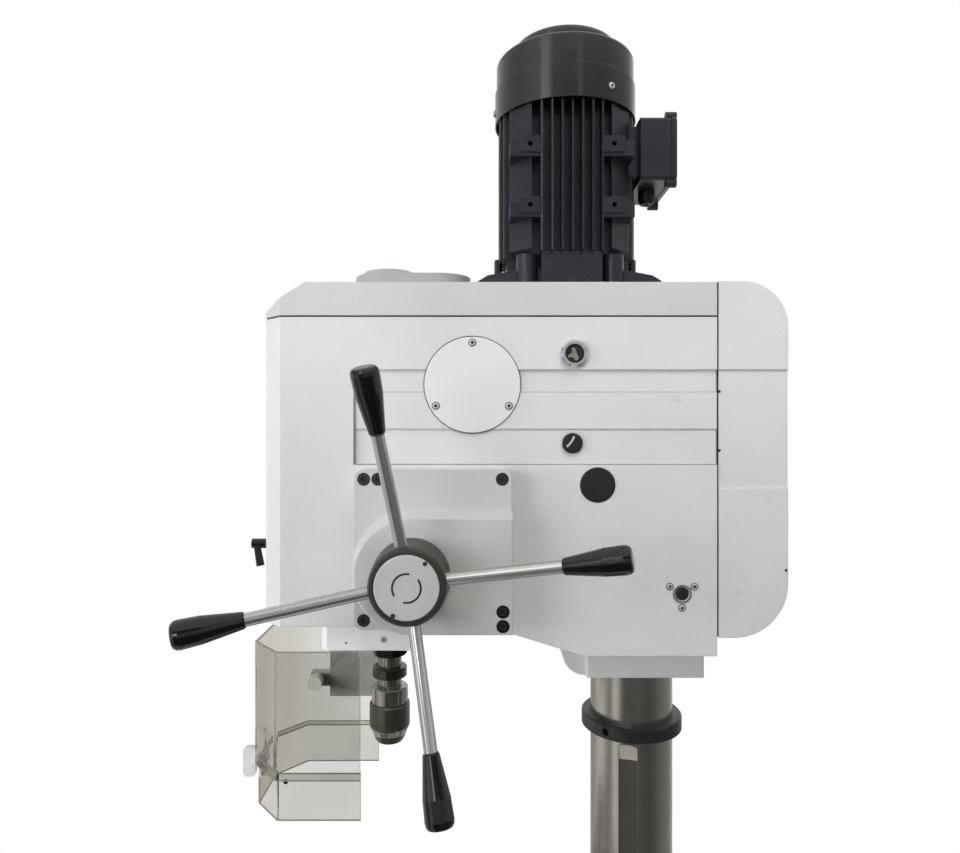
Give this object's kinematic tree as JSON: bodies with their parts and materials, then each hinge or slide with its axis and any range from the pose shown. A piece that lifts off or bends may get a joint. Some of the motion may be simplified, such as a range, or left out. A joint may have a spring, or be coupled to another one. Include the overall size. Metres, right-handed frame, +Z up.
{
  "type": "geared drill press",
  "caption": "Floor-standing geared column drill with motor on top, four-lever quill feed, chuck, clear guard, rear cabinet and a lifting T-slot table.",
  "frame": {"origin": "on the floor, on the column axis, under the base", "axes": "+Z up along the column; the machine faces -Y; +X is the side of the feed levers"},
  "size_m": [0.5498, 0.7219, 2.054],
  "materials": {
    "white_paint": "satin",
    "base_paint": "satin",
    "motor_paint": "satin",
    "ground_steel": "ground",
    "bright_steel": "polished",
    "dark_steel": "blackened",
    "gear_steel": "machined",
    "hub_grey": "satin",
    "black_oxide": "black oxide",
    "cast_iron": "machined",
    "cap_silver": "satin",
    "black_plastic": "gloss",
    "matte_black": "matte",
    "grey_plastic": "matte",
    "white_plastic": "gloss",
    "green_plastic": "gloss",
    "red_plastic": "gloss",
    "clear_plastic": "clear",
    "sight_glass": "clear",
    "panel_grey": "satin"
  },
  "bodies": {
    "stand": {"base_plate": "base_paint", "column_flange": "base_paint", "flange_bolts": "black_oxide", "column": "ground_steel", "column_rack": "gear_steel", "column_collar": "black_oxide", "head_casting": "white_paint", "bore_plugs": "matte_black", "round_cover": "white_paint", "sight_glass_bezel": "bright_steel", "sight_glass_lens": "sight_glass", "top_cover": "white_paint", "spindle_cap": "white_paint", "rear_cabinet": "white_paint", "nose_block": "white_paint", "feed_cover": "white_paint", "feed_cover_screws": "black_oxide", "front_panel": "panel_grey", "spring_housing": "hub_grey", "shaft_bearings": "gear_steel", "motor_flange": "motor_paint", "motor_frame": "motor_paint", "fan_cowl": "motor_paint", "terminal_box": "motor_paint", "terminal_lid": "motor_paint", "cable_gland": "matte_black", "guard_post": "bright_steel"},
    "rotor": {"motor_rotor": "gear_steel", "motor_fan": "matte_black"},
    "counter": {"countershaft": "gear_steel", "countershaft_gears": "gear_steel"},
    "lay": {"layshaft": "gear_steel", "layshaft_gears": "gear_steel"},
    "sleeve": {"spindle_gear": "gear_steel"},
    "quill": {"quill": "ground_steel", "quill_bearings": "gear_steel"},
    "spindle": {"spindle": "dark_steel", "chuck_body": "bright_steel"},
    "chuck_sleeve": {"chuck_sleeve": "dark_steel"},
    "jaw_1": {"chuck_jaw_1": "gear_steel"},
    "jaw_2": {"chuck_jaw_2": "gear_steel"},
    "jaw_3": {"chuck_jaw_3": "gear_steel"},
    "feed": {"feed_shaft": "gear_steel", "feed_hub": "hub_grey", "hub_cap": "cap_silver", "feed_rods": "bright_steel", "feed_grips": "black_plastic"},
    "guard": {"guard_box": "grey_plastic", "guard_shield": "clear_plastic"},
    "guard_slide": {"guard_slide": "clear_plastic"},
    "guard_screw": {"guard_screw": "white_plastic"},
    "quill_lock": {"quill_lock_lever": "black_plastic"},
    "bracket": {"table_bracket": "base_paint"},
    "table": {"work_table": "cast_iron"},
    "crank": {"table_crank": "bright_steel"},
    "crank_grip": {"crank_grip": "black_plastic"},
    "table_lock": {"table_lock_lever": "black_oxide"},
    "start_button": {"start_button": "green_plastic"},
    "stop_button": {"stop_button": "red_plastic"},
    "selector": {"gear_selector": "matte_black"}
  },
  "joints": [
    {"name": "motor_spin", "type": "hinge", "parent": "stand", "child": "rotor", "pos_m": [0, -0.0954, 1.75], "axis": [0, 0, 1], "continuous": true},
    {"name": "counter_spin", "type": "hinge", "parent": "stand", "child": "counter", "pos_m": [0, -0.1694, 1.6], "axis": [0, 0, 1], "continuous": true},
    {"name": "lay_spin", "type": "hinge", "parent": "stand", "child": "lay", "pos_m": [0, -0.2514, 1.58], "axis": [0, 0, 1], "continuous": true},
    {"name": "sleeve_spin", "type": "hinge", "parent": "stand", "child": "sleeve", "pos_m": [0, -0.3464, 1.55], "axis": [0, 0, 1], "continuous": true},
    {"name": "quill_slide", "type": "slide", "parent": "stand", "child": "quill", "axis": [0, 0, -1], "range_m": [0, 0.13], "stiffness_N_per_m": 500, "springref_m": -0.45},
    {"name": "spindle_spin", "type": "hinge", "parent": "quill", "child": "spindle", "pos_m": [0, -0.3464, 1.3], "axis": [0, 0, 1], "continuous": true},
    {"name": "chuck_turn", "type": "hinge", "parent": "spindle", "child": "chuck_sleeve", "pos_m": [0, -0.3464, 1.104], "axis": [0, 0, 1], "range_deg": [0, 360]},
    {"name": "jaw_1_slide", "type": "slide", "parent": "spindle", "child": "jaw_1", "axis": [0, -0.2588, -0.9659], "range_m": [0, 0.016]},
    {"name": "jaw_2_slide", "type": "slide", "parent": "spindle", "child": "jaw_2", "axis": [0.2241, 0.1294, -0.9659], "range_m": [0, 0.016]},
    {"name": "jaw_3_slide", "type": "slide", "parent": "spindle", "child": "jaw_3", "axis": [-0.2241, 0.1294, -0.9659], "range_m": [0, 0.016]},
    {"name": "feed_turn", "type": "hinge", "parent": "stand", "child": "feed", "pos_m": [0.2, -0.2934, 1.3466], "axis": [1, 0, 0], "range_deg": [0, 354.7]},
    {"name": "guard_swing", "type": "hinge", "parent": "stand", "child": "guard", "pos_m": [-0.103, -0.376, 1.13], "axis": [0, 0, 1], "range_deg": [-110, 0]},
    {"name": "guard_height", "type": "slide", "parent": "guard", "child": "guard_slide", "axis": [0, 0, 1], "range_m": [-0.004, 0.04]},
    {"name": "wing_screw_turn", "type": "hinge", "parent": "guard_slide", "child": "guard_screw", "pos_m": [0, -0.535, 1.035], "axis": [0, 1, 0], "range_deg": [-90, 90]},
    {"name": "quill_lock_turn", "type": "hinge", "parent": "stand", "child": "quill_lock", "pos_m": [0.132, -0.49, 1.369], "axis": [0, 1, 0], "range_deg": [-60, 60]},
    {"name": "table_lift", "type": "slide", "parent": "stand", "child": "bracket", "axis": [0, 0, 1], "range_m": [-0.38, 0.13]},
    {"name": "crank_turn", "type": "hinge", "parent": "bracket", "child": "crank", "pos_m": [0.06652, -0.01907, 0.636], "axis": [0.2756, 0.9613, 0], "range_deg": [-465.54, 1360.78]},
    {"name": "crank_grip_turn", "type": "hinge", "parent": "crank", "child": "crank_grip", "pos_m": [0.09527, 0.08118, 0.486], "axis": [0.2756, 0.9613, 0], "continuous": true},
    {"name": "table_swivel", "type": "hinge", "parent": "bracket", "child": "table", "pos_m": [0, -0.3464, 0.74], "axis": [0, 0, 1], "range_deg": [-90, 90]},
    {"name": "table_lock_turn", "type": "hinge", "parent": "bracket", "child": "table_lock", "pos_m": [-0.09275, 0.04, 0.636], "axis": [0, 1, 0], "range_deg": [-40, 50]},
    {"name": "start_press", "type": "slide", "parent": "stand", "child": "start_button", "axis": [0, 1, 0], "range_m": [0, 0.004], "stiffness_N_per_m": 500, "springref_m": -0.002},
    {"name": "stop_press", "type": "slide", "parent": "stand", "child": "stop_button", "axis": [0, 1, 0], "range_m": [0, 0.004], "stiffness_N_per_m": 500, "springref_m": -0.002},
    {"name": "selector_turn", "type": "hinge", "parent": "stand", "child": "selector", "pos_m": [-0.04, -0.49, 1.44], "axis": [0, 1, 0], "range_deg": [-60, 60]}
  ],
  "couplings": [
    {"joint": "counter_spin", "follows": "motor_spin", "ratio": -0.37037},
    {"joint": "lay_spin", "follows": "motor_spin", "ratio": 0.17196},
    {"joint": "sleeve_spin", "follows": "motor_spin", "ratio": -0.071863},
    {"joint": "spindle_spin", "follows": "motor_spin", "ratio": -0.071863},
    {"joint": "feed_turn", "follows": "quill_slide", "rad_per_m": 47.619},
    {"joint": "crank_turn", "follows": "table_lift", "rad_per_m": -62.5},
    {"joint": "jaw_1_slide", "follows": "chuck_turn", "m_per_rad": 0.0025465},
    {"joint": "jaw_2_slide", "follows": "chuck_turn", "m_per_rad": 0.0025465},
    {"joint": "jaw_3_slide", "follows": "chuck_turn", "m_per_rad": 0.0025465}
  ]
}
